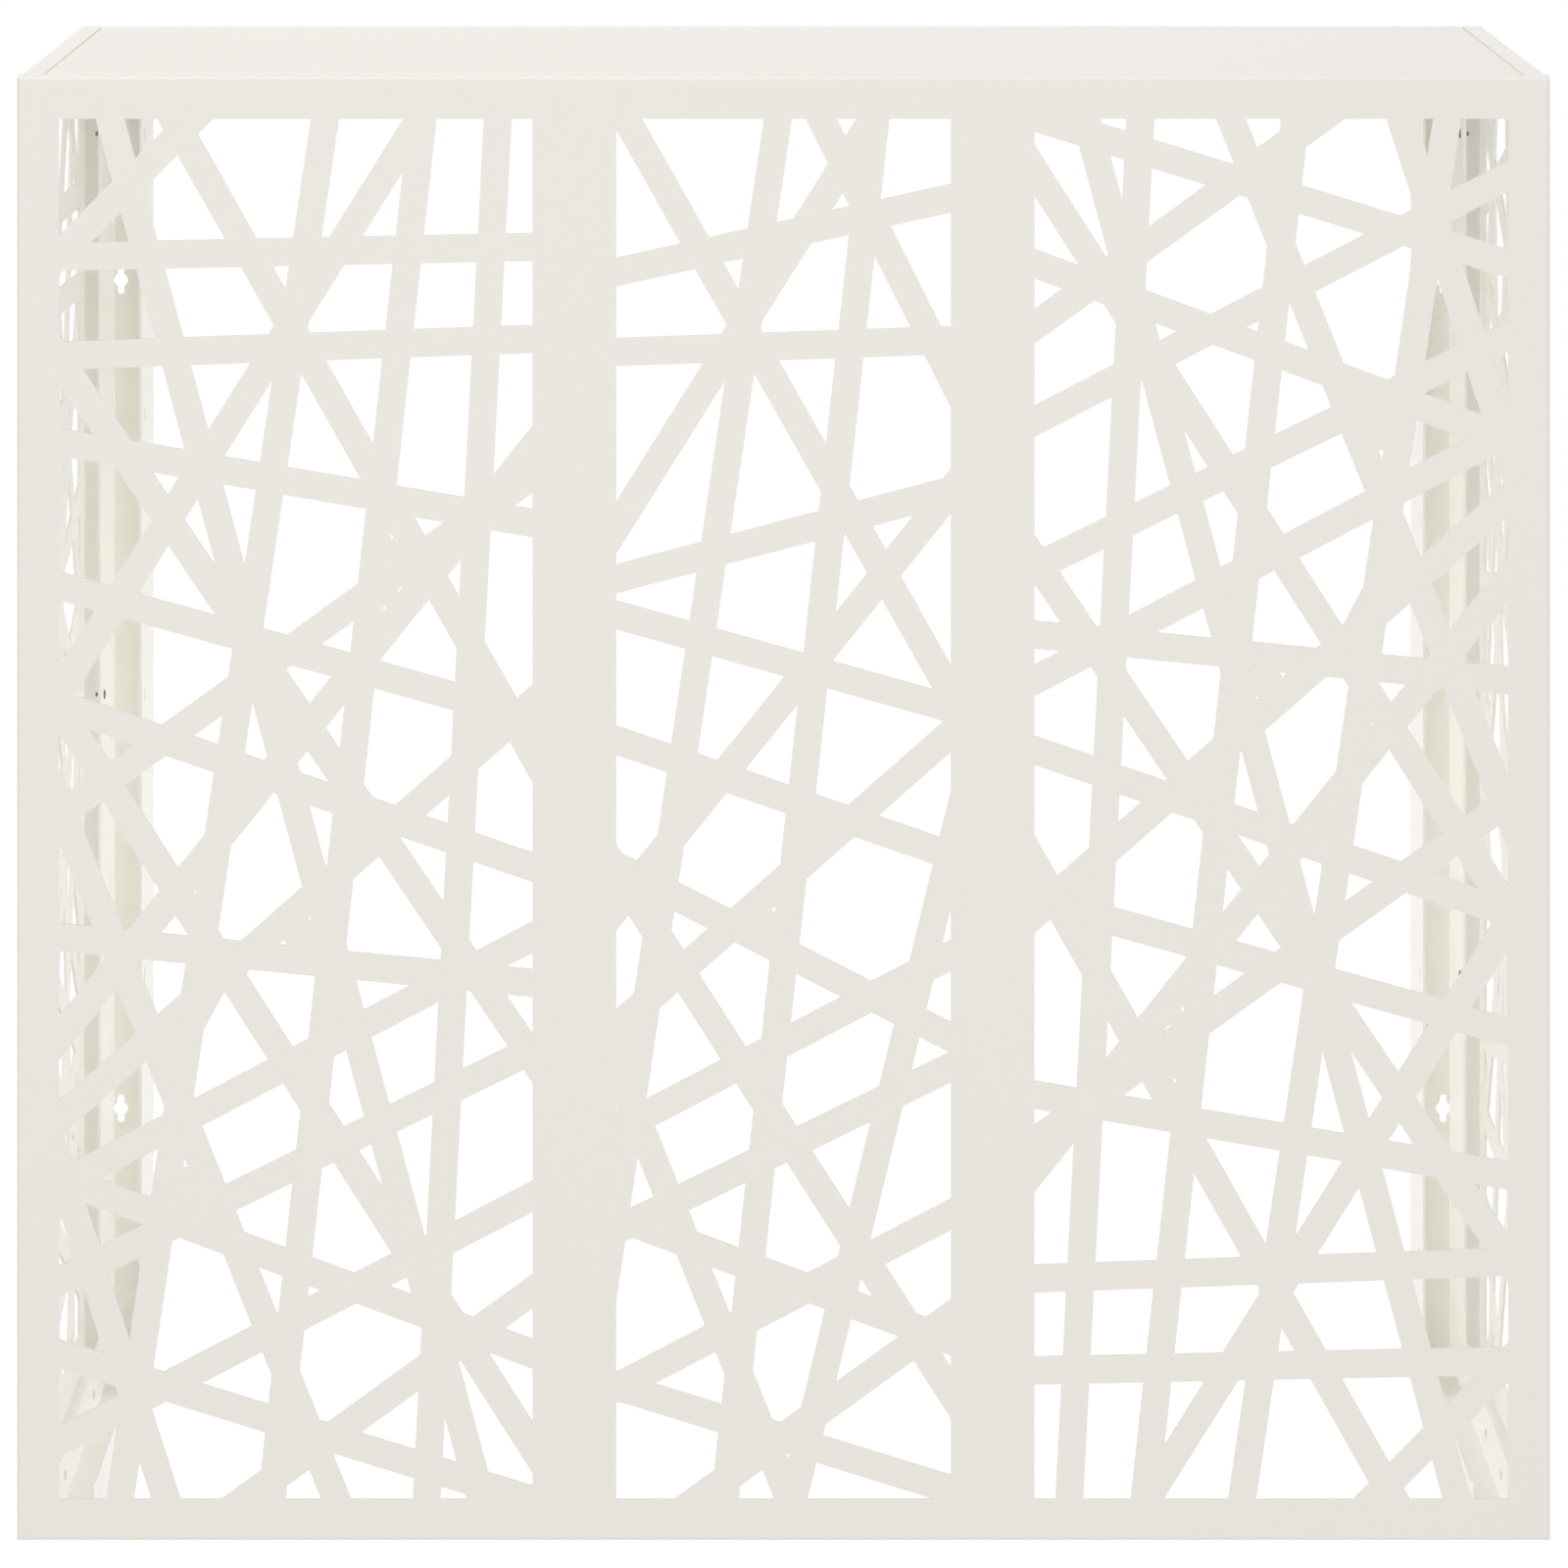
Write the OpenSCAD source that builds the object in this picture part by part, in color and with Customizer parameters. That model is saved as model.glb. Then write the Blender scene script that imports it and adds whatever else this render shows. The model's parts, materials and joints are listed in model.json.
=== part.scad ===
// Wall-hung screen cover of powder-coated sheet: a box with a solid top, an open back and an open bottom.
// Its front and both sides are cut to a lattice of straight bars that lie at random angles.
// The front faces -Y, +Z is up, and the origin is the middle of the bottom face.

/* [Overall] */
// Width across both side panels
cover_w = 1100; // [900:10:1400]
// Height from the bottom edge to the top face
cover_h = 1050; // [850:10:1300]
// Depth from the front face to the wall
cover_d = 450; // [380:10:600]
// Thickness of every sheet
sheet = 2; // [1.5:0.25:2.5]
// Outer radius of the folds
fold_r = 3; // [3:0.5:4]

/* [Lattice] */
// Width of one bar
bar_w = 20; // [14:1:26]
// Solid border round the front windows and the side windows
border = 30; // [28:1:40]
// Width of the two stiles between the front windows
stile_w = 60; // [40:5:90]
// Width of the middle window
middle_w = 240; // [160:10:320]
// How far the middle window's pattern starts along the main pattern
middle_shift = 75; // [0:5:120]

/* [Folds] */
// Depth of the front panel's returns
front_return = 25; // [20:1:35]
// Height of the front panel's bottom hem, between the rails
front_hem = 12; // [8:1:15]
// Height of the lips that meet between the front panel and the top panel
joint_lip = 25; // [22:1:27]
// Width of the side panel's flange that shows beside the top panel
top_flange = 16; // [12:1:20]
// Drop of the two lips where the top panel meets a side panel
top_lip = 20; // [16:1:24]
// Width of the side panel's returns, and of the front panel's lips that meet them
side_return = 23.5; // [20:0.5:30]
// Depth of the side panel's rear lip, to which the wall bracket is screwed
side_lip = 84; // [82:1:100]
// Gap between panels that meet edge to edge
panel_gap = 0.3; // [0.1:0.1:0.6]

/* [Brackets and rails] */
// Depth of the wall bracket's lips
bracket_d = 100; // [90:1:140]
// Width of the wall brackets and of the bottom rails
channel_w = 33.5; // [28:0.5:40]
// Height of the bottom rail's lips
rail_h = 40; // [30:1:50]

/* [Keyholes] */
// Distance from the top face to the upper keyholes
key_from_top = 199; // [120:1:300]
// Distance between the upper and the lower keyholes
key_pitch = 650; // [400:10:700]
// Diameter of a keyhole's round middle, which the screw head passes
key_d = 11; // [9:0.5:12]
// Width of a keyhole's slots, which hold the screw's shank
key_slot_w = 5.4; // [4.4:0.2:6.4]
// Length of a keyhole over both slots
key_l = 22; // [18:1:28]
// Distance from the bracket's outer face to the keyholes
key_inset = 7.8; // [7.8:0.1:12]

/* [Fasteners] */
// Diameter of the machine screws that join the panels
bolt_d = 5; // [4:0.5:6]
// Diameter of a machine screw's button head
bolt_head_d = 9.5; // [8:0.5:11]
// Diameter of the button head's flat top
bolt_crown_d = 6.8; // [5:0.2:8]
// Height of a machine screw's button head
bolt_head_h = 2.8; // [2:0.2:4]
// Width of the hexagon socket across its corners
bolt_socket_w = 3.4; // [2.5:0.1:4.5]
// Depth of the hexagon socket
bolt_socket_h = 1.7; // [1:0.1:2]
// Length of a machine screw below its head
bolt_l = 10; // [8:1:12]
// Diameter of a clinch nut
nut_d = 8.7; // [8:0.1:10]
// Height of a clinch nut above its lip
nut_h = 4; // [3:0.5:5]
// Diameter of the tapping screws in the brackets and rails
tapper_d = 3.9; // [3:0.1:4.5]
// Diameter of a tapping screw's pan head
tapper_head_d = 7; // [6:0.5:8.5]
// Diameter of the pan head's flat top
tapper_crown_d = 4.9; // [4:0.1:6]
// Height of a tapping screw's pan head
tapper_head_h = 2.4; // [1.6:0.2:3]
// Length and width of each slot of a tapping screw's cross recess
tapper_cross = [3.8, 0.9]; // [0.5:0.1:5]
// Depth of the cross recess
tapper_cross_h = 1.2; // [0.8:0.1:1.4]
// Length of a tapping screw below its head
tapper_l = 7; // [6:0.5:12]
// Length and end diameter of a tapping screw's blunt point
tapper_point = [0.9, 2.4]; // [0.5:0.1:3]
// Radial clearance of a screw in a plain hole
screw_gap = 0.25; // [0.1:0.05:0.5]
// Radial clearance of a machine screw in its nut
thread_gap = 0.05; // [0.02:0.01:0.1]
// Distance from the top face to the first bracket screw
bracket_screw_top = 77; // [60:1:110]
// Distance from the bottom edge to the last bracket screw
bracket_screw_foot = 106; // [60:1:130]
// How far the bracket screws lie in front of the wall
bracket_screw_y = 77; // [45:1:78]
// Diameter of the holes in the bracket's inner lip, through which a driver reaches the screws
access_d = 11; // [9:0.5:14]
// How far the end screws of every other row lie from the row's ends
row_end = 60; // [40:5:100]
// Number of screws down each front edge
front_side_count = 5; // [3:1:8]
// Number of screws along the front of the top panel
front_top_count = 5; // [3:1:8]
// Number of screws along each side of the top panel
top_side_count = 3; // [2:1:5]
// Number of screws down each wall bracket
bracket_count = 5; // [3:1:7]
// Number of screws along each bottom rail
rail_count = 3; // [2:1:5]

/* [Hidden] */
$fn = 48;
coat = [0.93, 0.91, 0.885];
zinc = [0.36, 0.35, 0.32];
steel = [0.62, 0.62, 0.6];
// How far a cut runs past the sheet it goes through
past = 5;

half_w = cover_w / 2;
front_y = -cover_d / 2;
wall_y = cover_d / 2;
seam_y = front_y + front_return;
window_w = (cover_w - middle_w - 2 * stile_w) / 2 - border;
window_h = cover_h - 2 * border;
window_x = middle_w / 2 + stile_w;
side_d = wall_y - seam_y;
side_window_w = side_d - 2 * border;
top_half_w = half_w - top_flange - panel_gap;
channel_x = half_w - side_return - channel_w;
bracket_y = wall_y - bracket_d;
under_top = cover_h - joint_lip - panel_gap;
bracket_h = under_top - sheet;
fold_in = fold_r - sheet;

bolt_hole_d = bolt_d + 2 * screw_gap;
tapper_hole_d = tapper_d + 2 * screw_gap;
shank_d = nut_d - 1;

// Struts of the main pattern, each a straight bar given by two points [x, z] of its middle line.
// They are counted from the lower left corner of the left window, and run on past any window's edges.
// These are the bars that the left, middle and right windows share.
SHARED_STRUTS = [
    [[44, 0], [191, 990]], [[153, 0], [261, 990]],
    [[0, 820], [340, 832]], [[0, 655], [340, 560]], [[0, 570], [340, 453]],
    [[0, 230], [340, 104]], [[0, 104], [340, -1]],
    [[82, 990], [340, 534]], [[0, 568], [340, 37]], [[0, 498], [199, 0]], [[0, 577], [259, 990]],
    [[0, 272], [340, 571]], [[0, 225], [340, 403]], [[0, 156], [340, 322]], [[0, 41], [340, 217]],
    [[134, 0], [340, 149]], [[0, 330], [340, 754]]
];
// These are only in the outer front windows and in the side windows
OUTER_STRUTS = [
    [[264, 0], [315, 990]], [[0, 891], [340, 898]], [[0, 758], [340, 700]], [[0, 403], [340, 370]],
    [[37, 990], [303, 0]], [[0, 818], [340, 316]], [[0, 240], [77, 0]], [[0, 892], [97, 990]],
    [[0, 490], [340, 734]]
];
// These are only in the middle window, counted from its own lower left corner
MIDDLE_STRUTS = [
    [[0, 880], [240, 933]], [[0, 660], [240, 723]], [[147, 990], [240, 805]],
    [[240, 466], [127, 0]], [[0, 454], [240, 331]]
];
// Small gaps between the struts that stay uncut, as [x, z] and the width of the web in them
OUTER_WEBS = [
    [175, 403, 26], [93, 223, 30], [110, 350, 16], [240, 681, 16], [238, 646, 14], [304, 556, 16],
    [164, 557, 14], [132, 511, 14], [216, 478, 14], [81, 326, 14], [168, 40, 16]
];
MIDDLE_WEBS = [
    [109, 414, 16], [143, 481, 16], [107, 149, 16], [5, 326, 14], [94, 40, 16], [56, 512, 16]
];

// Places along a row of count items that keeps its end items a stated distance from the row's ends
function row(low, high, count) = [for (i = [0 : count - 1]) low + (high - low) * i / (count - 1)];

front_side_z = row(row_end, cover_h - row_end, front_side_count);
front_top_x = row(row_end - half_w, half_w - row_end, front_top_count);
top_side_y = row(seam_y + row_end, wall_y - row_end, top_side_count);
rail_y = row(seam_y + row_end, bracket_y - row_end, rail_count);
bracket_screw_z = row(bracket_screw_foot, cover_h - bracket_screw_top, bracket_count);
key_z = [cover_h - key_from_top, cover_h - key_from_top - key_pitch];

front_side_x = half_w - side_return / 2;
front_top_z = cover_h - (joint_lip + sheet) / 2;
top_side_x = half_w - top_flange;
top_side_z = cover_h - (top_lip + sheet) / 2;
tray_lip_x = half_w - side_return;
rail_screw_z = rail_h / 2 + sheet;
key_x = half_w - side_return - key_inset;

// ---- Lattice ----

// One straight bar through two points, long enough to cross any window
module strut(ends) {
    run = ends[1] - ends[0];
    translate(ends[0])
        rotate(atan2(run[1], run[0]))
            translate([-3 * cover_h, -bar_w / 2])
                square([6 * cover_h, bar_w]);
}

module bars(struts, webs) {
    for (s = struts)
        strut(s);
    for (w = webs)
        translate([w[0], w[1]])
            circle(d = w[2]);
}

module outer_bars() {
    bars(SHARED_STRUTS, []);
    bars(OUTER_STRUTS, OUTER_WEBS);
}

module middle_bars() {
    translate([-middle_shift, 0])
        bars(SHARED_STRUTS, []);
    bars(MIDDLE_STRUTS, MIDDLE_WEBS);
}

// The open gaps of a window: what is left of its rectangle between the bars
module gaps(w, h) {
    difference() {
        square([w, h]);
        children();
    }
}

// The same gaps turned half round, as the right window and the right side panel have them
module half_turned(w, h) {
    translate([w, h])
        rotate(180)
            children();
}

module front_gaps() {
    translate([-window_x - window_w, border])
        gaps(window_w, window_h)
            outer_bars();
    translate([-middle_w / 2, border])
        gaps(middle_w, window_h)
            middle_bars();
    translate([window_x, border])
        half_turned(window_w, window_h)
            gaps(window_w, window_h)
                outer_bars();
}

// The left side window as seen from inside the cover, its front edge on the left
module side_gaps(turned) {
    translate([seam_y + border, border])
        gaps(side_window_w, window_h)
            translate([side_window_w, turned ? window_h : 0])
                mirror([1, 0])
                    mirror([0, turned ? 1 : 0])
                        outer_bars();
}

// ---- Folded sheet ----

// Which corners of a section are folds, in the order low left, low right, high left, high right
ALL_FOLDS = [true, true, true, true];
NO_FOLDS = [false, false, false, false];
TOP_FOLDS = [false, false, true, true];

// Rectangle whose folded corners are round and whose other corners are square
module section(w, h, r, folds) {
    for (i = [0 : 3])
        translate([(i % 2) * (w - 2 * r), floor(i / 2) * (h - 2 * r)])
            if (folds[i])
                translate([r, r])
                    circle(r);
            else
                square(2 * r);
    translate([r, 0])
        square([w - 2 * r, h]);
    translate([0, r])
        square([w, h - 2 * r]);
}

// Block with round folds, as seen from above (xy), from the front (xz) and from the side (yz)
module folded_block(low, size, r, xy, xz, yz) {
    translate(low)
        intersection() {
            linear_extrude(size[2])
                section(size[0], size[1], r, xy);
            translate([0, size[1], 0])
                rotate([90, 0, 0])
                    linear_extrude(size[1])
                        section(size[0], size[2], r, xz);
            rotate([90, 0, 90])
                linear_extrude(size[0])
                    section(size[1], size[2], r, yz);
        }
}

// Closed shell of sheet with round folds, from which a tray is cut open
module shell(low, size, xy = NO_FOLDS, xz = NO_FOLDS, yz = NO_FOLDS) {
    skin = [sheet, sheet, sheet];
    difference() {
        folded_block(low, size, fold_r, xy, xz, yz);
        folded_block(low + skin, size - 2 * skin, fold_in, xy, xz, yz);
    }
}

// Block from one corner to the opposite one
module between(low, high) {
    translate(low)
        cube(high - low);
}

module hole_y(x, y, z, d) {
    translate([x, y, z])
        rotate([90, 0, 0])
            cylinder(h = 4 * sheet, d = d, center = true);
}

module hole_x(x, y, z, d) {
    translate([x, y, z])
        rotate([0, 90, 0])
            cylinder(h = 4 * sheet, d = d, center = true);
}

module on_right() {
    mirror([1, 0, 0])
        children();
}

// ---- Panels ----

module front_panel() color(coat)
    difference() {
        shell([-half_w, front_y, 0], [cover_w, front_return, cover_h], xy = ALL_FOLDS, yz = ALL_FOLDS);
        // the rear is open inside the lips, down to the hem and, where the rails lie, to the bottom return
        between(
            [-tray_lip_x, seam_y - sheet - past, front_hem],
            [tray_lip_x, seam_y + past, cover_h - joint_lip]);
        for (x = [-tray_lip_x, channel_x])
            between([x, seam_y - fold_r, sheet], [x + channel_w, seam_y + past, front_hem + past]);
        translate([0, front_y + sheet + past, 0])
            rotate([90, 0, 0])
                linear_extrude(sheet + 2 * past)
                    front_gaps();
        for (side = [-1, 1], z = front_side_z)
            hole_y(side * front_side_x, seam_y, z, shank_d);
        for (x = front_top_x)
            hole_y(x, seam_y, front_top_z, shank_d);
    }

module top_panel() color(coat)
    difference() {
        shell(
            [-top_half_w, seam_y, cover_h - joint_lip],
            [2 * top_half_w, side_d, joint_lip],
            xz = TOP_FOLDS,
            yz = TOP_FOLDS);
        // open below, with the side lips shorter than the front and rear lips
        between(
            [sheet - top_half_w, seam_y + sheet, cover_h - joint_lip - past],
            [top_half_w - sheet, wall_y - sheet, cover_h - joint_lip + 2 * sheet]);
        for (side = [-1, 1])
            between(
                [side * top_half_w - past, seam_y + sheet, cover_h - joint_lip - past],
                [side * top_half_w + past, wall_y - sheet, cover_h - top_lip]);
        for (x = front_top_x)
            hole_y(x, seam_y, front_top_z, bolt_hole_d);
        for (side = [-1, 1], y = top_side_y)
            hole_x(side * top_half_w, y, top_side_z, bolt_hole_d);
    }

// The left side panel: a tray that opens towards the inside of the cover
module side_panel(turned) color(coat) {
    difference() {
        shell(
            [-half_w, seam_y, 0],
            [side_return, side_d, cover_h],
            xy = [true, false, true, true],
            xz = [true, true, true, false]);
        // the inner side is open but for the rear lip and, in front of the bracket, the bottom lip
        between(
            [-tray_lip_x - sheet - past, seam_y + sheet, rail_h + sheet],
            [past - tray_lip_x, wall_y - side_lip, cover_h - sheet]);
        between(
            [-top_side_x, seam_y - past, under_top],
            [past - tray_lip_x, wall_y + past, cover_h + past]);
        rotate([90, 0, 90])
            translate([0, 0, -half_w - past])
                linear_extrude(sheet + 2 * past)
                    side_gaps(turned);
        for (z = front_side_z)
            hole_y(-front_side_x, seam_y, z, bolt_hole_d);
        for (z = bracket_screw_z)
            hole_x(-tray_lip_x, wall_y - bracket_screw_y, z, tapper_d);
        for (y = rail_y)
            hole_x(-tray_lip_x, y, rail_screw_z, tapper_d);
    }
    difference() {
        between(
            [-top_side_x - sheet, seam_y + sheet, cover_h - top_lip],
            [-top_side_x, wall_y - sheet, cover_h - sheet / 2]);
        for (y = top_side_y)
            hole_x(-top_side_x, y, top_side_z, shank_d);
    }
}

module left_side_panel() side_panel(turned = false);

// The right side has its lattice turned half round, as seen from outside
module right_side_panel() on_right() side_panel(turned = true);

// ---- Brackets and rails ----

// Channel that runs along +Y, with its web on XY and its two lips standing up
module channel(length, lip) {
    translate([0, length, 0])
        rotate([90, 0, 0])
            linear_extrude(length)
                difference() {
                    section(channel_w, lip, fold_r, [true, true, false, false]);
                    translate([sheet, sheet])
                        section(channel_w - 2 * sheet, lip, fold_in, [true, true, false, false]);
                }
}

// Round hole with a slot above and a slot below, so that the cover hangs either way up
module keyhole() {
    cylinder(h = 4 * sheet, d = key_d, center = true);
    for (end = [-1, 1])
        translate([0, end * (key_l - key_slot_w) / 2, 0])
            cylinder(h = 4 * sheet, d = key_slot_w, center = true);
    cube([key_slot_w, key_l - key_slot_w, 4 * sheet], center = true);
}

module wall_bracket() color(coat)
    difference() {
        translate([-tray_lip_x, wall_y, sheet])
            rotate([90, 0, 0])
                channel(bracket_h, bracket_d);
        for (z = key_z)
            translate([-key_x, wall_y, z])
                rotate([90, 0, 0])
                    keyhole();
        for (z = bracket_screw_z) {
            hole_x(-tray_lip_x, wall_y - bracket_screw_y, z, tapper_hole_d);
            hole_x(-channel_x, wall_y - bracket_screw_y, z, access_d);
        }
    }

module left_wall_bracket() wall_bracket();

module right_wall_bracket() on_right() wall_bracket();

module bottom_rail() color(coat)
    difference() {
        translate([-tray_lip_x, front_y + sheet, sheet])
            channel(bracket_y - front_y - sheet, rail_h);
        for (y = rail_y)
            hole_x(-tray_lip_x, y, rail_screw_z, tapper_hole_d);
    }

module left_bottom_rail() bottom_rail();

module right_bottom_rail() on_right() bottom_rail();

// ---- Fasteners ----
// Each is drawn along +Z from the plane where its two lips meet

// Button-head machine screw through two lips that lie a gap apart
module bolt(gap = 0) color(steel)
    translate([0, 0, -sheet - gap])
        difference() {
            union() {
                translate([0, 0, -bolt_head_h])
                    cylinder(h = bolt_head_h, d1 = bolt_crown_d, d2 = bolt_head_d);
                cylinder(h = bolt_l, d = bolt_d);
            }
            translate([0, 0, -bolt_head_h - past])
                cylinder(h = past + bolt_socket_h, d = bolt_socket_w, $fn = 6);
        }

module clinch_nut() color(steel)
    difference() {
        union() {
            translate([0, 0, sheet])
                cylinder(h = nut_h, d = nut_d);
            cylinder(h = sheet, d = shank_d);
        }
        translate([0, 0, -past])
            cylinder(h = sheet + nut_h + 2 * past, d = bolt_d + 2 * thread_gap);
    }

// Thread-forming screw with a blunt point
module tapper() color(zinc)
    translate([0, 0, -sheet]) {
        pan_head();
        cylinder(h = tapper_l - tapper_point[0], d = tapper_d);
        translate([0, 0, tapper_l - tapper_point[0]])
            cylinder(h = tapper_point[0], d1 = tapper_d, d2 = tapper_point[1]);
    }

// Pan head below its own origin, with a cross recess
module pan_head() {
    rim = tapper_head_h / 2;
    translate([0, 0, -tapper_head_h])
        difference() {
            union() {
                translate([0, 0, rim])
                    cylinder(h = rim, d = tapper_head_d);
                cylinder(h = rim, d1 = tapper_crown_d, d2 = tapper_head_d);
            }
            for (turn = [0, 90])
                rotate(turn)
                    cube([tapper_cross[0], tapper_cross[1], 2 * tapper_cross_h], center = true);
        }
}

// Points forward, from behind the front panel's lips
module facing_front(x, z) {
    translate([x, seam_y, z])
        rotate([90, 0, 0])
            children();
}

// Points outwards on the left, from inside the cover
module facing_left(x, y, z) {
    translate([-x, y, z])
        rotate([0, -90, 0])
            children();
}

module front_side_row() {
    for (z = front_side_z)
        facing_front(-front_side_x, z)
            children();
}

module front_top_row() {
    for (x = front_top_x)
        facing_front(x, front_top_z)
            children();
}

module top_side_row() {
    for (y = top_side_y)
        facing_left(top_side_x, y, top_side_z)
            children();
}

module bracket_row() {
    for (z = bracket_screw_z)
        facing_left(tray_lip_x, wall_y - bracket_screw_y, z)
            children();
}

module rail_row() {
    for (y = rail_y)
        facing_left(tray_lip_x, y, rail_screw_z)
            children();
}

module front_left_nuts() front_side_row() clinch_nut();

module front_right_nuts() on_right() front_side_row() clinch_nut();

module front_top_nuts() front_top_row() clinch_nut();

module top_left_nuts() top_side_row() clinch_nut();

module top_right_nuts() on_right() top_side_row() clinch_nut();

module front_left_screws() front_side_row() bolt();

module front_right_screws() on_right() front_side_row() bolt();

module front_top_screws() front_top_row() bolt();

module top_left_screws() top_side_row() bolt(panel_gap);

module top_right_screws() on_right() top_side_row() bolt(panel_gap);

module left_bracket_screws() bracket_row() tapper();

module right_bracket_screws() on_right() bracket_row() tapper();

module left_rail_screws() rail_row() tapper();

module right_rail_screws() on_right() rail_row() tapper();

front_panel();
top_panel();
left_side_panel();
right_side_panel();
left_wall_bracket();
right_wall_bracket();
left_bottom_rail();
right_bottom_rail();
front_left_nuts();
front_right_nuts();
front_top_nuts();
top_left_nuts();
top_right_nuts();
front_left_screws();
front_right_screws();
front_top_screws();
top_left_screws();
top_right_screws();
left_bracket_screws();
right_bracket_screws();
left_rail_screws();
right_rail_screws();
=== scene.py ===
import json

import bpy
import numpy as np
from mathutils import Matrix, Vector


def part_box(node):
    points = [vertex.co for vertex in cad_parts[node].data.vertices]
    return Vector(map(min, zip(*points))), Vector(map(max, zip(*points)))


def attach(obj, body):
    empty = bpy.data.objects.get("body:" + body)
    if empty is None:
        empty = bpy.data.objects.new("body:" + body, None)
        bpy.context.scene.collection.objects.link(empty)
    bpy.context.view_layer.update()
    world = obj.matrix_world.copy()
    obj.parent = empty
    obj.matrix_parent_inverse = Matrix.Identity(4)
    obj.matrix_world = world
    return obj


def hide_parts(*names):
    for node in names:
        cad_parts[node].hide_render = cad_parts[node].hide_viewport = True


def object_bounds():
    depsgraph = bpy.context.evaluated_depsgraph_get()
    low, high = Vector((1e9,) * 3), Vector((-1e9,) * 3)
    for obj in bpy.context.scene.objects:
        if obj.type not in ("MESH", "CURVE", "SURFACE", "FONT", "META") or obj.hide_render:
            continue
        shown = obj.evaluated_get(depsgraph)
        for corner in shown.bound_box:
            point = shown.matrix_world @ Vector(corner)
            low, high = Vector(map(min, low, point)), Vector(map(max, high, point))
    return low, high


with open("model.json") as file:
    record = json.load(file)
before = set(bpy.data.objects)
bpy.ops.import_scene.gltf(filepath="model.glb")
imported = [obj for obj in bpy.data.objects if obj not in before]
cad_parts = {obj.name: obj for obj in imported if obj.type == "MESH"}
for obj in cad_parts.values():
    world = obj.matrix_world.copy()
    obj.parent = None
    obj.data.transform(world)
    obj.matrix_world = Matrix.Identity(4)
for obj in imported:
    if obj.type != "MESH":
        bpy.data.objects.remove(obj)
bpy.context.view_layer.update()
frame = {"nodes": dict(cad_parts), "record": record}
nodes = frame["nodes"]
coverLow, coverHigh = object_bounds()
coverMiddle = (coverLow + coverHigh) / 2
print("frame loaded:", len(nodes), "nodes")

cameraSetup = {
    "lensX": -0.0123,        # metres to the right of the cover's middle
    "lensDistance": 4.767,   # in front of the front face
    "lensRise": 0.948,       # above the middle of the cover's height
    "frameSize": 1600,       # pixels across the picture, which is square
    "focalPixels": 6782,     # focal length in those pixels
    "frontMiddle": (799.5, 825.5),  # where the middle of the front face lands in the picture
    "filmWidth": 36,         # millimetres
    "sees": (0.1, 100),      # metres from the lens, nearest and farthest
}


def makeCamera(setup):
    # An architect's camera: the film stays upright, so that upright edges stay upright, while the lens
    # looks down at the cover. The film's upright direction and the line of sight are set in one matrix.
    data = bpy.data.cameras.new("camera")
    camera = bpy.data.objects.new("camera", data)
    bpy.context.scene.collection.objects.link(camera)
    bpy.context.scene.camera = camera

    lens = Vector((
        coverMiddle.x + setup["lensX"],
        coverLow.y - setup["lensDistance"],
        coverMiddle.z + setup["lensRise"],
    ))
    target = Vector((coverMiddle.x, coverLow.y, coverMiddle.z)) - lens
    focal = setup["focalPixels"]
    frameMiddle = setup["frameSize"] / 2
    frontAcross, frontDown = setup["frontMiddle"]
    sight = Vector((
        target.x / target.y + (frameMiddle - frontAcross) / focal,
        1.0,
        target.z / target.y + (frontDown - frameMiddle) / focal,
    ))
    film = Matrix.Identity(4)
    film.col[0].xyz = (1, 0, 0)
    film.col[1].xyz = (0, 0, 1)
    film.col[2].xyz = -sight.normalized()
    film.col[3].xyz = lens

    holder = bpy.data.objects.new("cameraHolder", None)
    bpy.context.scene.collection.objects.link(holder)
    camera.parent = holder
    camera.matrix_parent_inverse = film
    data.sensor_width = setup["filmWidth"]
    data.lens = setup["filmWidth"] * focal * sight.length / setup["frameSize"]
    data.clip_start, data.clip_end = setup["sees"]
    print("camera set, lens", round(data.lens, 1), "mm")


makeCamera(cameraSetup)

# Numbers of a Mix node's sockets where it mixes colours: several of them share a name
colourMix = {"factor": 0, "low": 6, "high": 7, "result": 2}


class Wire:
    # One socket in a node tree. Its operators add Math nodes, and node() adds any other kind.

    def __init__(self, tree, socket=None):
        self.tree = tree
        self.socket = socket

    def node(self, kind, settings=None, inputs=None, output=0):
        # The node's own settings first, then a value or a link for each socket, by its name or number
        made = self.tree.nodes.new(kind)
        for name, value in (settings or {}).items():
            setattr(made, name, value)
        for name, value in (inputs or {}).items():
            if isinstance(value, Wire):
                self.tree.links.new(value.socket, made.inputs[name])
            elif made.inputs[name].type == "RGBA":
                made.inputs[name].default_value = (*value, 1)
            else:
                made.inputs[name].default_value = value
        return Wire(self.tree, made.outputs[output] if made.outputs else None)

    def beside(self, output):
        # Another output of the same node
        return Wire(self.tree, self.socket.node.outputs[output])

    def maths(self, operation, first, second):
        return self.node("ShaderNodeMath", {"operation": operation}, {0: first, 1: second})

    def __add__(self, other):
        return self.maths("ADD", self, other)

    def __radd__(self, other):
        return self.maths("ADD", other, self)

    def __sub__(self, other):
        return self.maths("SUBTRACT", self, other)

    def __rsub__(self, other):
        return self.maths("SUBTRACT", other, self)

    def __mul__(self, other):
        return self.maths("MULTIPLY", self, other)

    def __rmul__(self, other):
        return self.maths("MULTIPLY", other, self)

    def mix(self, low, high):
        # The colour low where this value is 0, and high where it is 1
        inputs = {colourMix["factor"]: self, colourMix["low"]: low, colourMix["high"]: high}
        return self.node("ShaderNodeMix", {"data_type": "RGBA"}, inputs, colourMix["result"])

    def mixShaders(self, low, high):
        # The shader low where this value is 0, and high where it is 1
        return self.node("ShaderNodeMixShader", inputs={0: self, 1: low, 2: high})


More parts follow.
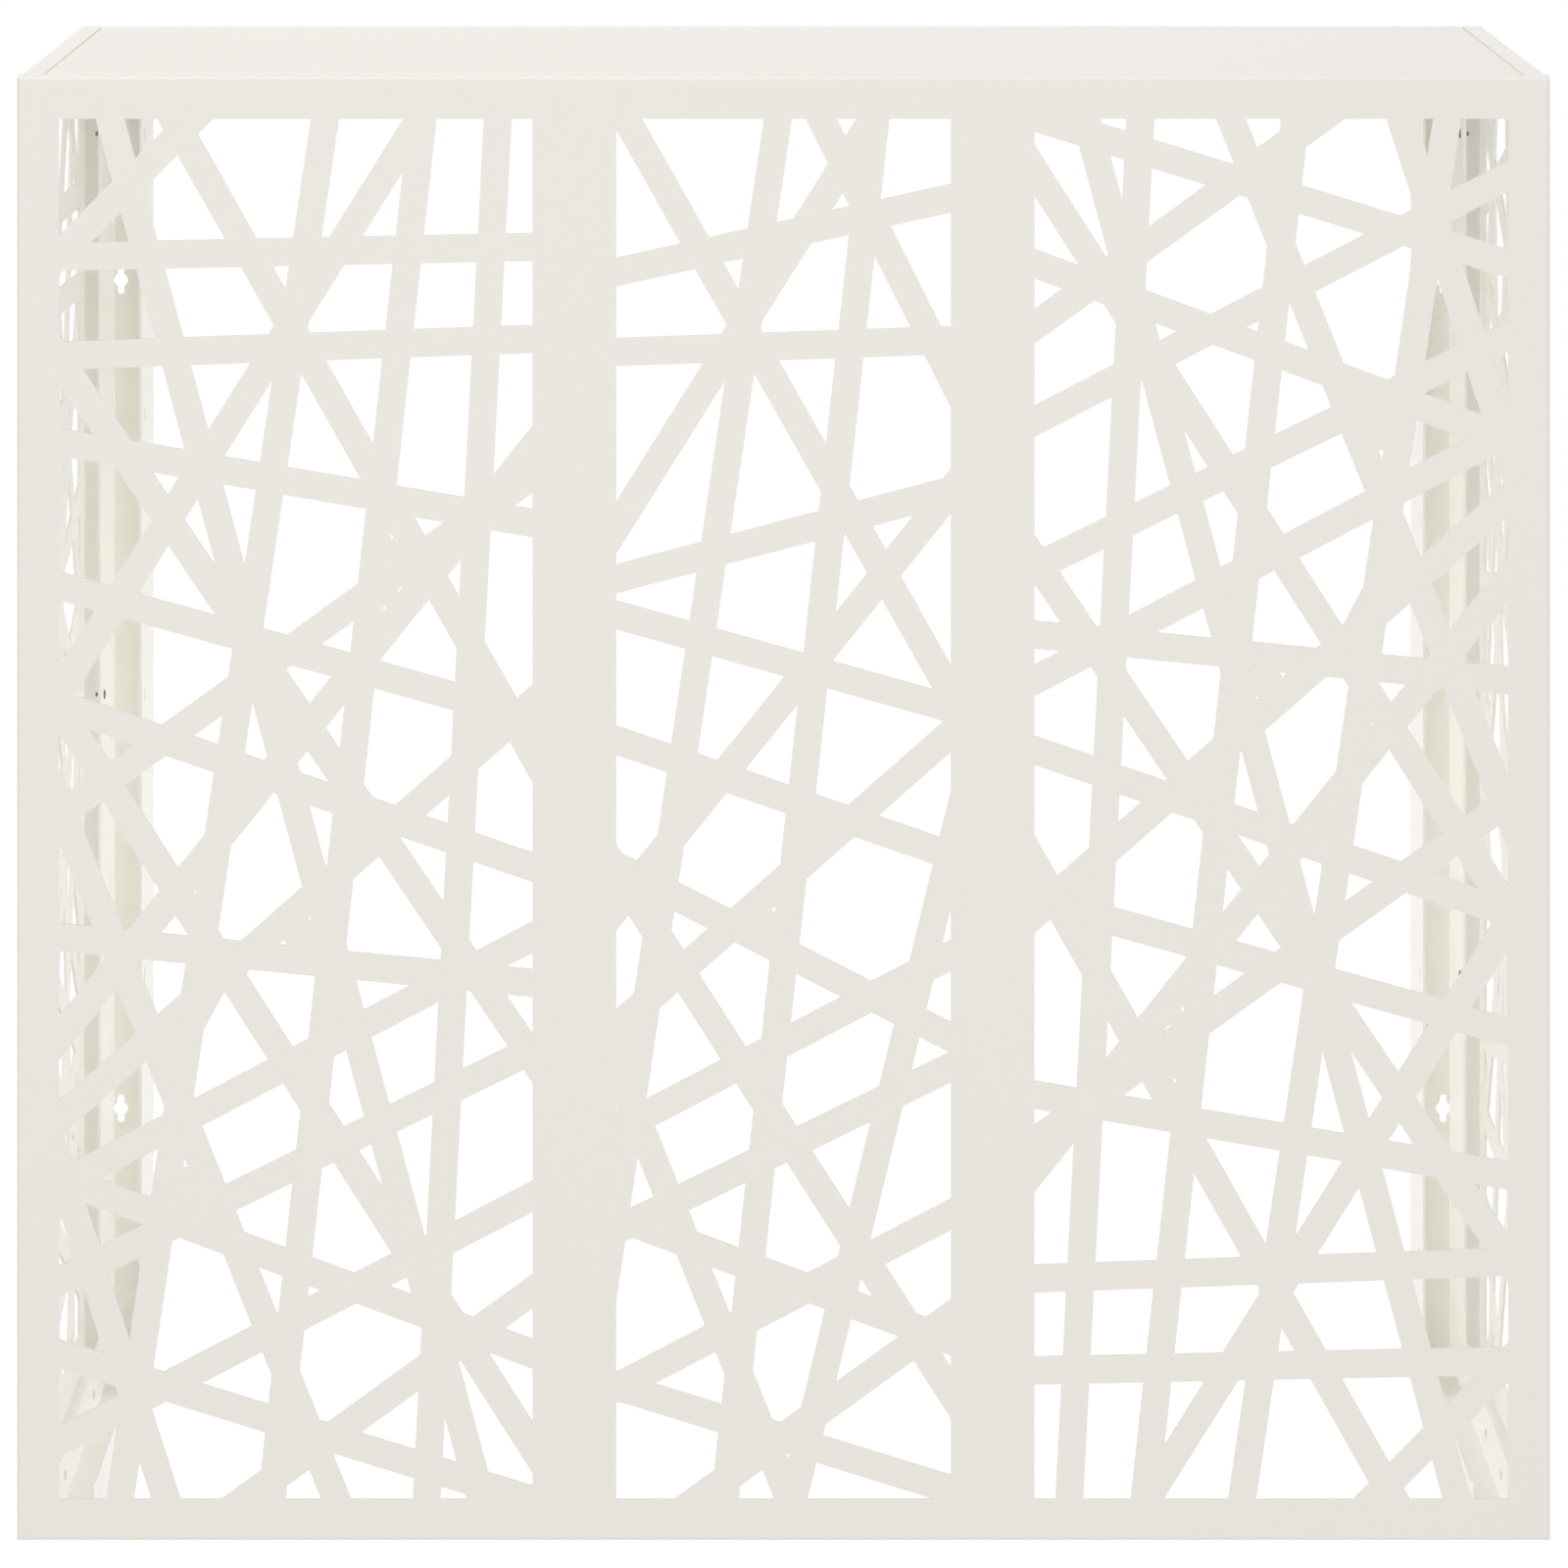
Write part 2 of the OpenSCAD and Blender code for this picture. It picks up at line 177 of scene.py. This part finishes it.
def newMaterial(name):
    material = bpy.data.materials.new(name)
    material.use_nodes = True
    material.node_tree.nodes.clear()
    return material, Wire(material.node_tree)


stageSetup = {
    "floorDrop": 0.9,        # the cover hangs this far above the floor
    "floorReach": 9.0,       # from the floor's middle to each side
    "floorColour": (0.80, 0.795, 0.78),
    "floorGlow": 0.45,       # added for the lens only, so that the floor is white and keeps a shadow
    "roomColour": (1.000, 0.973, 0.964),
    "roomLevel": 0.701,      # light from the left and right
    "roomBefore": 0.254,     # how much stronger it is from before the cover, and weaker from behind it
    "roomAbove": 0.055,      # how much stronger it is from above, and weaker from below
}


def whiteForTheLens(wire):
    # 1 for rays that leave the camera or come off metal or glass, 0 for the rays that light the cover
    seen = wire.node("ShaderNodeLightPath", output="Is Camera Ray")
    mirrored = wire.maths("MAXIMUM", seen.beside("Is Glossy Ray"), seen.beside("Is Transmission Ray"))
    return wire.maths("MAXIMUM", seen, mirrored)


def makeWorld(setup):
    # Each direction in the room is a point of a sphere round the cover: its y is negative before the cover
    world = bpy.data.worlds.new("studio")
    bpy.context.scene.world = world
    world.use_nodes = True
    world.node_tree.nodes.clear()
    wire = Wire(world.node_tree)
    direction = wire.node("ShaderNodeTexCoord", output="Generated")
    parts = wire.node("ShaderNodeSeparateXYZ", inputs={0: direction})
    level = setup["roomLevel"] - setup["roomBefore"] * parts.beside("Y")
    level = level + setup["roomAbove"] * parts.beside("Z")
    room = wire.node("ShaderNodeBackground", inputs={"Color": setup["roomColour"], "Strength": level})
    white = wire.node("ShaderNodeBackground", inputs={"Color": (1, 1, 1), "Strength": 1})
    mixed = whiteForTheLens(wire).mixShaders(room, white)
    wire.node("ShaderNodeOutputWorld", inputs={"Surface": mixed})


def makeFloor(setup):
    mesh = bpy.data.meshes.new("floor")
    z = coverLow.z - setup["floorDrop"]
    reach = setup["floorReach"]
    corners = [(-reach, -reach, z), (reach, -reach, z), (reach, reach, z), (-reach, reach, z)]
    mesh.from_pydata(corners, [], [(0, 1, 2, 3)])
    floor = bpy.data.objects.new("floor", mesh)
    bpy.context.scene.collection.objects.link(floor)
    material, wire = newMaterial("paleFloor")
    paint = wire.node("ShaderNodeBsdfDiffuse", inputs={"Color": setup["floorColour"]})
    glow = wire.node("ShaderNodeEmission", inputs={"Color": (1, 1, 1), "Strength": setup["floorGlow"]})
    lit = wire.node("ShaderNodeAddShader", inputs={0: paint, 1: glow})
    mixed = whiteForTheLens(wire).mixShaders(paint, lit)
    wire.node("ShaderNodeOutputMaterial", inputs={"Surface": mixed})
    mesh.materials.append(material)
    return floor


# Each lamp's place is in metres from the middle of the cover, and its power in watts
mainLamp = {
    "place": (-0.3, -3.2, 0.45),
    "size": (1.6, 1.6),
    "power": 10.0,
    "colour": (1.000, 0.930, 0.900),
}
overheadLamp = {
    "place": (-0.4, 0.2, 2.4),
    "size": (1.2, 1.2),
    "power": 8.0,
    "colour": (1.000, 0.905, 0.867),
}
insideLamp = {
    "place": (0, -1.44, 0.24),    # its light passes the front and the top
    "size": (0.55, 0.4),
    "power": 3.8,
    "colour": (1.000, 1.000, 1.000),
}
crossLamp = {
    "place": (1.7, 0.0, 0.3),     # on the far side of the cover from the half that it lights
    "size": (0.8, 1.6),
    "power": 19.3,
    "colour": (0.937, 0.898, 1.000),
}


def makeLamp(name, setup, side=1, lit=None, shading=None):
    # A softbox that faces the middle of the cover, on the other side of it where side is -1. Where groups
    # are given, it lights and is shaded by these alone.
    data = bpy.data.lights.new(name, "AREA")
    data.shape = "RECTANGLE"
    data.size, data.size_y = setup["size"]
    data.energy = setup["power"]
    data.color = setup["colour"]
    lamp = bpy.data.objects.new(name, data)
    bpy.context.scene.collection.objects.link(lamp)
    place = Vector(setup["place"])
    place.x *= side
    lamp.location = coverMiddle + place
    lamp.rotation_euler = place.to_track_quat("Z", "Y").to_euler()
    lamp.light_linking.receiver_collection = lit
    lamp.light_linking.blocker_collection = shading


def makeGroup(name, pieces):
    group = bpy.data.collections.new(name)
    for piece in pieces:
        group.objects.link(piece)
    return group


makeWorld(stageSetup)
floor = makeFloor(stageSetup)
makeLamp("mainSoftbox", mainLamp)
makeLamp("overheadSoftbox", overheadLamp)
behind = [nodes[name] for name in nodes if name not in ("front_panel", "top_panel")]
inside = makeGroup("inside", behind)
overhead = makeGroup("overhead", [floor, nodes["top_panel"]])
makeLamp("insideSoftbox", insideLamp, lit=inside, shading=inside)
for hand, side in (("left", 1), ("right", -1)):
    half = makeGroup(hand, [nodes[name] for name in nodes if name.startswith(hand)])
    makeLamp(hand + "CrossSoftbox", crossLamp, side, half, overhead)
print("stage lit")

# A pattern is its cells per metre, and how many finer layers are laid over them
powderSetup = {
    "lightShade": (0.905, 0.905, 0.860),
    "darkShade": (0.885, 0.885, 0.835),
    "drift": (2.6, 3),       # pattern of the broad change of shade
    "specks": (900, 2),      # pattern of the fine one
    "speckShare": 0.3,       # how much of the shade the specks make, and the drift the rest
    "peel": (620, 1),        # pattern of the orange peel
    "peelHeight": 0.00004,   # metres
    "roughness": 0.42,
    "roughnessSpread": 0.10,
    "refraction": 1.5,
}


def noise(wire, pattern):
    # Soft random shade from 0 to 1 that stays fixed to the piece
    scale, detail = pattern
    place = wire.node("ShaderNodeTexCoord", output="Object")
    return wire.node("ShaderNodeTexNoise", inputs={"Vector": place, "Scale": scale, "Detail": detail})


def bumps(wire, shade, height):
    # Relief of a stated height in metres where the shade goes from 0 to 1. It only bends the light.
    return wire.node("ShaderNodeBump", inputs={"Height": shade, "Distance": height, "Strength": 1})


def makePowderCoat(setup):
    # Satin powder coat: a broad, faint drift of shade, fine specks, and orange peel
    material, wire = newMaterial("powderCoat")
    specks = noise(wire, setup["specks"])
    shade = (1 - setup["speckShare"]) * noise(wire, setup["drift"]) + setup["speckShare"] * specks
    coat = wire.node("ShaderNodeBsdfPrincipled", inputs={
        "Base Color": shade.mix(setup["darkShade"], setup["lightShade"]),
        "Roughness": setup["roughness"] + setup["roughnessSpread"] * (specks - 0.5),
        "Normal": bumps(wire, noise(wire, setup["peel"]), setup["peelHeight"]),
        "IOR": setup["refraction"],
    })
    wire.node("ShaderNodeOutputMaterial", inputs={"Surface": coat})
    return material


def dress(nodeName, material):
    piece = nodes[nodeName]
    piece.data.materials.clear()
    piece.data.materials.append(material)


powderCoat = makePowderCoat(powderSetup)
for subpart in frame["record"]["subparts"]:
    if subpart["material_slot"] == "powder_coat":
        dress(subpart["node"], powderCoat)
print("panels coated")

# Where three bars meet, the solid closes the corner between them with a round web, and the real edge is
# straight. Places are counted from one corner of a window, in metres.
cornerWeb = {
    "border": 0.030,              # from the cover's edges to the window
    "middle": (0.110, 0.350),     # of the round web
    "radius": 0.008,
    "tolerance": 0.0002,          # how far from that radius a point of its rim may lie
    "start": (0.1040, 0.3360),    # the ends of the straight edge, each on the edge of a bar
    "end": (0.1184, 0.3628),
}
# For each window: its panel, the axis that runs across it, and the ways in which the web's place is
# counted along that axis and Z: 1 counts up from the window's low edge, and -1 down from its high edge
windows = (
    ("front_panel", 0, (1, 1)),
    ("front_panel", 0, (-1, -1)),
    ("left_side_panel", 1, (-1, 1)),
    ("right_side_panel", 1, (-1, -1)),
)


def nodePoints(nodeName):
    # All points of a node, one row each
    vertices = nodes[nodeName].data.vertices
    points = np.empty(3 * len(vertices))
    vertices.foreach_get("co", points)
    return points.reshape(-1, 3)


def displace(piece, axis, points, amounts):
    # Displace modifiers that shift the stated points along one axis, one modifier for each direction
    for sign, word in ((1, "Up"), (-1, "Down")):
        reach = np.max(sign * amounts)
        if reach <= 0:
            continue
        group = piece.vertex_groups.new(name="web" + "XYZ"[axis] + word)
        for point, amount in zip(points.tolist(), (sign * amounts).tolist()):
            if amount > 0:
                group.add([point], amount / reach, "REPLACE")
        shift = piece.modifiers.new(group.name, "DISPLACE")
        shift.direction = "XYZ"[axis]
        shift.mid_level = 0
        shift.strength = sign * reach
        shift.vertex_group = group.name


def straightenWeb(nodeName, axis, ways, setup):
    # Each point of the round rim goes on to the straight edge, as far along it as its share of the turn
    # from one end of the rim to the other
    upright = 2
    low, high = np.array([coverLow, coverHigh])[:, [axis, upright]]
    corner = np.where(np.array(ways) > 0, low + setup["border"], high - setup["border"])
    flat = (nodePoints(nodeName)[:, [axis, upright]] - corner) * ways
    out = flat - setup["middle"]
    fromRim = np.abs(np.hypot(out[:, 0], out[:, 1]) - setup["radius"])
    rim = np.nonzero(fromRim < setup["tolerance"])[0]
    turn = np.arctan2(out[rim, 1], out[rim, 0])
    share = (turn - turn.min()) / np.ptp(turn)
    start, end = np.array(setup["start"]), np.array(setup["end"])
    shift = (start + share[:, None] * (end - start) - flat[rim]) * ways
    displace(nodes[nodeName], axis, rim, shift[:, 0])
    displace(nodes[nodeName], upright, rim, shift[:, 1])
    print("straight web edge in", nodeName, "-", len(rim), "points")


for nodeName, axis, ways in windows:
    straightenWeb(nodeName, axis, ways, cornerWeb)

# How a fastener's own x, y and z lie in the cover, by the way it points
pointing = {
    "forward": ((1, 0, 0), (0, 0, 1), (0, -1, 0)),
    "left": ((0, 0, 1), (0, 1, 0), (-1, 0, 0)),
    "right": ((0, 0, 1), (0, -1, 0), (1, 0, 0)),
}
rowSetup = {
    "leastGap": 0.02,        # metres along a row from each solid to the next, which are shorter than this
    "turnEach": 2.4,         # radians from each fastener to the next, so that no two stand alike
    "sharpFrom": 0.6,        # edges that bend by more radians stay sharp
}


def solidBoxes(nodeName, leastGap):
    # The box of each solid in a row of small solids, cut apart where the row's points leave a gap
    points = nodePoints(nodeName)
    along = np.argmax(np.ptp(points, axis=0))
    points = points[np.argsort(points[:, along])]
    cuts = np.nonzero(np.diff(points[:, along]) > leastGap)[0] + 1
    return [(part.min(axis=0), part.max(axis=0)) for part in np.split(points, cuts)]


def ringFaces(rows, count, looped):
    # Quads between neighbouring rings. The last ring joins the first, as round a nut's bore, or else
    # triangles close each end to a point, which comes before the first ring's points and after the last's.
    start = 0 if looped else 1
    here = start + np.arange(rows * count).reshape(rows, count)
    beside = np.roll(here, -1, axis=1)
    if looped:
        below, belowBeside = np.roll(here, -1, axis=0), np.roll(beside, -1, axis=0)
        return np.stack([here, beside, belowBeside, below], axis=2).reshape(-1, 4).tolist()
    faces = np.stack([here[:-1], beside[:-1], beside[1:], here[1:]], axis=2).reshape(-1, 4).tolist()
    first, last = np.zeros_like(here[0]), np.full_like(here[0], start + rows * count)
    faces += np.stack([first, beside[0], here[0]], axis=1).tolist()
    faces += np.stack([here[-1], beside[-1], last], axis=1).tolist()
    return faces


def ringPoints(radius, height, angles, looped):
    # A point at every angle of every ring, at a stated radius from the axis and height along it
    radius, height = np.broadcast_arrays(radius, height)
    points = np.stack([radius * np.cos(angles), radius * np.sin(angles), height], axis=2)
    if looped:
        return points.reshape(-1, 3)
    ends = [(0, 0, points[0, :, 2].mean()), (0, 0, points[-1, :, 2].mean())]
    return np.concatenate([ends[:1], points.reshape(-1, 3), ends[1:]])


def placeRow(nodeName, direction, shape, material, sunk=0):
    # One new piece in place of a node: the same shape at each solid of its row, each at another turn. It
    # starts where the solid starts, or as far behind that as sunk says.
    points, faces = shape
    basis = np.array(pointing[direction], dtype=float)
    allPoints, allFaces = [], []
    for index, (low, high) in enumerate(solidBoxes(nodeName, rowSetup["leastGap"])):
        halfLength = abs(basis[2] @ (high - low)) / 2
        origin = (low + high) / 2 + basis[2] * (sunk - halfLength)
        turn = rowSetup["turnEach"] * index
        spin = np.array([[np.cos(turn), np.sin(turn), 0], [-np.sin(turn), np.cos(turn), 0], [0, 0, 1]])
        before = len(points) * index
        allPoints.append(points @ spin @ basis + origin)
        allFaces += [[corner + before for corner in face] for face in faces]
    words = nodeName.split("_")
    name = words[0] + "".join(word.capitalize() for word in words[1:])
    mesh = bpy.data.meshes.new(name)
    mesh.from_pydata(np.concatenate(allPoints).tolist(), [], allFaces)
    mesh.polygons.foreach_set("use_smooth", [True] * len(mesh.polygons))
    mesh.set_sharp_from_angle(angle=rowSetup["sharpFrom"])
    mesh.materials.append(material)
    piece = bpy.data.objects.new(name, mesh)
    bpy.context.scene.collection.objects.link(piece)
    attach(piece, "root")
    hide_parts(nodeName)
    print("made", name, "-", len(mesh.polygons), "faces")


threadSetup = {
    "crestEnd": 0.1003,      # where the flat crest ends, in pitches from the middle of the ridge
    "rootStart": 0.4348,     # where the flank reaches the root
}


def threadRadius(height, angles, crest, root, pitch):
    # A ridge that rises one pitch in each turn: its phase is the height in pitches less the angle in
    # turns. From root to root the radius climbs along a flank, holds at the crest and comes down again.
    fromMiddle = np.abs((height / pitch - angles / (2 * np.pi)) % 1 - 0.5)
    crestEnd, rootStart = threadSetup["crestEnd"], threadSetup["rootStart"]
    ridge = np.clip((rootStart - fromMiddle) / (rootStart - crestEnd), 0, 1)
    return root + (crest - root) * ridge


def arc(fromPlace, toPlace, bulge, steps):
    # A quarter of a superellipse from one (radius, height) to another, which leaves the first one level
    t = np.linspace(0, np.pi / 2, steps)
    across = np.sin(t) ** (1 / bulge)
    along = 1 - np.cos(t) ** (1 / bulge)
    radius = fromPlace[0] + (toPlace[0] - fromPlace[0]) * across
    height = fromPlace[1] + (toPlace[1] - fromPlace[1]) * along
    return list(zip(radius, height))


# Metres, apart from the shares and counts. Heights are counted from the top of the head towards the tip.
screwSetup = {
    "pitReach": 0.5,             # the recess is deepest inside this share of its outline
    "pitDepth": 1.05,            # and this many times its depth there
    "domeBulge": 1.15,           # 1 is a quarter of an ellipse, and more is fuller
    "domeRings": 9,
    "neck": 1.02,                # width of the shank right under the head, as a share of its own
    "neckLength": 0.0002,        # from there to the first ring of the thread
    "threadRings": 10,           # in each turn
}
machineScrew = {
    "headRadius": 0.00475,
    "crownRadius": 0.0024,       # of the flat middle of the head
    "domeHeight": 0.0024,
    "headHeight": 0.0028,
    "shankRadius": 0.0025,
    "length": 0.0128,
    "tipLength": 0.0006,
    "tipRadius": 0.0020,
    "pitch": 0.0008,
    "threadDepth": 0.00042,
    "edgeRound": 0.00012,
    "recessDepth": 0.0017,
    "recessTaper": 0.97,         # width of the recess at its bottom, as a share of that at its top
    "acrossFlats": 0.00295,      # of the hexagon socket
    "anglesPerFlat": 8,
}
tappingScrew = {
    "headRadius": 0.0035,
    "crownRadius": 0.0026,
    "domeHeight": 0.0008,
    "headHeight": 0.0011,
    "shankRadius": 0.00195,
    "length": 0.0076,
    "tipLength": 0.0010,
    "tipRadius": 0.0013,
    "pitch": 0.0013,
    "threadDepth": 0.00045,
    "edgeRound": 0.0001,
    "recessDepth": 0.0011,
    "recessTaper": 0.70,
    "crossLength": 0.0038,
    "crossWidth": 0.0009,
    # degrees round one arm of the cross, where 13.3 is the corner of its end
    "armAngles": (-45, -34, -24, -18, -13.3, -9, -4.5, 0, 4.5, 9, 13.3, 18, 24, 34),
    "sunk": 0.0013,              # its thin head lies this far below the top of the plain one
}


def hexagonOutline(acrossFlats, angles):
    # Radius of a hexagon at each angle: half the distance across its flats, over the cosine of the angle
    # from the middle of the nearest flat
    return acrossFlats / 2 / np.cos((angles + np.pi / 6) % (np.pi / 3) - np.pi / 6)


def crossOutline(length, width, angles):
    # Radius of a cross at each angle from the nearest arm's middle: out to the arm's end or to its side
    turned = (angles + np.pi / 4) % (np.pi / 2) - np.pi / 4
    sideways = np.maximum(np.abs(np.sin(turned)), 1e-6)  # never 0, because it divides
    return np.minimum(length / 2 / np.cos(turned), width / 2 / sideways)


def screwShape(setup, angles, recess):
    # Rings from the bottom of the recess up its wall, over the crown, down the head's side, in under the
    # head, and along the threaded shank to its end. recess is the outline's radius at each angle.
    even = np.ones_like(angles)
    depth, soft = setup["recessDepth"], setup["edgeRound"]
    headRadius, headHeight = setup["headRadius"], setup["headHeight"]
    bottom = recess * setup["recessTaper"]
    rings = [
        (bottom * screwSetup["pitReach"], depth * screwSetup["pitDepth"]),
        (bottom, depth),
        (recess, soft),
        (recess + soft, 0),
    ]
    dome = arc(
        (setup["crownRadius"], 0), (headRadius, setup["domeHeight"]),
        screwSetup["domeBulge"], screwSetup["domeRings"])
    rings += [(radius * even, height) for radius, height in dome]
    rings.append((headRadius * even, headHeight - soft))
    rings.append(((headRadius - soft) * even, headHeight))
    shank, end = setup["shankRadius"], setup["length"]
    rings.append((shank * screwSetup["neck"] * even, headHeight))
    tipStart = end - setup["tipLength"]
    step = setup["pitch"] / screwSetup["threadRings"]
    root = shank - setup["threadDepth"]
    for height in np.arange(headHeight + screwSetup["neckLength"], end, step):
        crest = root if height < headHeight + setup["pitch"] / 2 else shank  # relief under the head
        reach = max(0, (height - tipStart) / (end - tipStart))
        limit = shank + (setup["tipRadius"] - shank) * reach
        thread = threadRadius(height, angles, crest, root, setup["pitch"])
        rings.append((np.minimum(thread, limit), height))
    rings.append((setup["tipRadius"] * even, end))
    radius = np.array([ring[0] for ring in rings])
    height = np.array([ring[1] * even for ring in rings])
    return ringPoints(radius, height, angles, False), ringFaces(len(rings), len(angles), False)


clinchNut = {
    "radius": 0.00435,
    "shankRadius": 0.00385,
    "boreRadius": 0.00255,
    "lipDepth": 0.002,           # the part that is pressed into the sheet
    "length": 0.006,
    "teeth": 24,
    "toothDepth": 0.00014,
    "toothLength": 0.001,        # along the body, from the sheet
    "edgeRound": 0.00025,
    "cornerRound": 0.0005,       # round the body's far end
    "cornerShare": 0.3,          # how far in the middle of that round lies, as a share of it
    "boreRound": 0.000375,       # from each face to the first turn of the thread
    "pitch": 0.0008,
    "threadDepth": 0.0002,
    "threadRings": 8,            # in each turn
    "anglesRound": 96,
}


def nutShape(setup):
    # Rings that loop from the bore's lip end out along the pressed-in shank, over the toothed rim, along
    # the body and back through the threaded bore. The teeth are a cosine round the rim.
    angles = np.linspace(0, 2 * np.pi, setup["anglesRound"], endpoint=False)
    even = np.ones_like(angles)
    teeth = setup["toothDepth"] * (0.5 + 0.5 * np.cos(setup["teeth"] * angles))
    soft, corner = setup["edgeRound"], setup["cornerRound"]
    shank, bore, body = setup["shankRadius"], setup["boreRadius"], setup["radius"]
    lip, end = setup["lipDepth"], setup["length"]
    teethEnd = lip + setup["toothLength"]
    halfway = setup["cornerShare"] * corner
    rings = [
        ((bore + soft) * even, 0),
        ((shank - soft) * even, 0),
        (shank - teeth, soft),
        (shank - teeth, lip),
        (body - soft - teeth, lip),
        (body - teeth, lip + soft),
        (body - teeth, teethEnd),
        (body * even, teethEnd + soft),
        (body * even, end - corner),
        ((body - halfway) * even, end - halfway),
        ((body - corner) * even, end),
        ((bore + setup["boreRound"]) * even, end),
    ]
    step = setup["pitch"] / setup["threadRings"]
    for height in np.arange(end - setup["boreRound"], setup["boreRound"], -step):
        groove = threadRadius(height, angles, bore + setup["threadDepth"], bore, setup["pitch"])
        rings.append((groove, height))
    radius = np.array([ring[0] for ring in rings])
    height = np.array([ring[1] * even for ring in rings])
    return ringPoints(radius, height, angles, True), ringFaces(len(rings), len(angles), True)


sixfold = np.linspace(0, 2 * np.pi, 6 * machineScrew["anglesPerFlat"], endpoint=False)
quarter = np.radians(tappingScrew["armAngles"])
fourfold = np.concatenate([quarter + step * np.pi / 2 for step in range(4)])
hexagon = hexagonOutline(machineScrew["acrossFlats"], sixfold)
cross = crossOutline(tappingScrew["crossLength"], tappingScrew["crossWidth"], fourfold)
machineShape = screwShape(machineScrew, sixfold, hexagon)
tappingShape = screwShape(tappingScrew, fourfold, cross)
clinchShape = nutShape(clinchNut)

brightPlating = {
    "lightShade": (0.66, 0.66, 0.64),
    "darkShade": (0.46, 0.46, 0.45),
    "mottle": (420, 4),          # patterns, as in the powder coat
    "grain": (5200, 2),
    "grainHeight": 0.00001,      # metres
    "roughness": 0.30,
    "roughnessSpread": 0.16,
    "metallic": 1.0,
}
darkPlating = {
    "lightShade": (0.36, 0.35, 0.32),
    "darkShade": (0.24, 0.235, 0.215),
    "mottle": (380, 4),
    "grain": (4600, 2),
    "grainHeight": 0.000012,
    "roughness": 0.42,
    "roughnessSpread": 0.14,
    "metallic": 0.85,
}


def makeZinc(name, setup):
    # Plated steel: a mottled shade, and a fine grain in its roughness and relief
    material, wire = newMaterial(name)
    grain = noise(wire, setup["grain"])
    metal = wire.node("ShaderNodeBsdfPrincipled", inputs={
        "Base Color": noise(wire, setup["mottle"]).mix(setup["darkShade"], setup["lightShade"]),
        "Roughness": setup["roughness"] + setup["roughnessSpread"] * (grain - 0.5),
        "Normal": bumps(wire, grain, setup["grainHeight"]),
        "Metallic": setup["metallic"],
    })
    wire.node("ShaderNodeOutputMaterial", inputs={"Surface": metal})
    return material


brightZinc = makeZinc("brightZinc", brightPlating)
darkZinc = makeZinc("darkZinc", darkPlating)
print("plating mixed")

railTongue = {
    "sheet": 0.002,          # thickness of the rail and the bracket
    "gap": 0.0001,           # between the tongue's end and the bracket's web
    "squareness": 24,        # of its section: 2 is an ellipse, and a high power a flat strip
    "anglesRound": 64,
    "rings": 12,
}


def makeTongue(hand, setup):
    # The rail's web runs on between the bracket's lips to the bracket's own web: a superellipse, flat but
    # for its broken edges, carried along Y and closed to a point in the middle of each end
    railLow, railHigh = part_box(hand + "_bottom_rail")
    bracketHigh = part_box(hand + "_wall_bracket")[1]
    sheet = setup["sheet"]
    low = np.array([railLow.x + sheet, railHigh.y, railLow.z])
    high = np.array([railHigh.x - sheet, bracketHigh.y - sheet - setup["gap"], railLow.z + sheet])
    middle, half = (low + high) / 2, (high - low) / 2
    angles = np.linspace(0, 2 * np.pi, setup["anglesRound"], endpoint=False)
    power = 2 / setup["squareness"]
    x = middle[0] + half[0] * np.sign(np.sin(angles)) * np.abs(np.sin(angles)) ** power
    z = middle[2] + half[2] * np.sign(np.cos(angles)) * np.abs(np.cos(angles)) ** power
    along = np.linspace(low[1], high[1], setup["rings"])
    points = np.stack(np.broadcast_arrays(x, along[:, None], z), axis=2).reshape(-1, 3)
    front, rear = (middle[0], low[1], middle[2]), (middle[0], high[1], middle[2])
    mesh = bpy.data.meshes.new(hand + "RailTongue")
    points = np.concatenate([[front], points, [rear]]).tolist()
    mesh.from_pydata(points, [], ringFaces(len(along), len(angles), False))
    mesh.materials.append(powderCoat)
    piece = bpy.data.objects.new(mesh.name, mesh)
    bpy.context.scene.collection.objects.link(piece)
    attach(piece, "root")
    print("made", piece.name)


for hand in ("left", "right"):
    makeTongue(hand, railTongue)

for edge in ("front_left", "front_right", "front_top", "top_left", "top_right"):
    direction = edge.split("_")[1] if edge.startswith("top") else "forward"
    placeRow(edge + "_screws", direction, machineShape, brightZinc)
    placeRow(edge + "_nuts", direction, clinchShape, brightZinc)
for hand in ("left", "right"):
    placeRow(hand + "_bracket_screws", hand, tappingShape, darkZinc, tappingScrew["sunk"])
    # these are coated with the rail
    placeRow(hand + "_rail_screws", hand, tappingShape, powderCoat, tappingScrew["sunk"])

bpy.context.scene.view_settings.view_transform = "Standard"
bpy.context.scene.cycles.diffuse_bounces = 8  # the light in the cover has come off its sheet several times
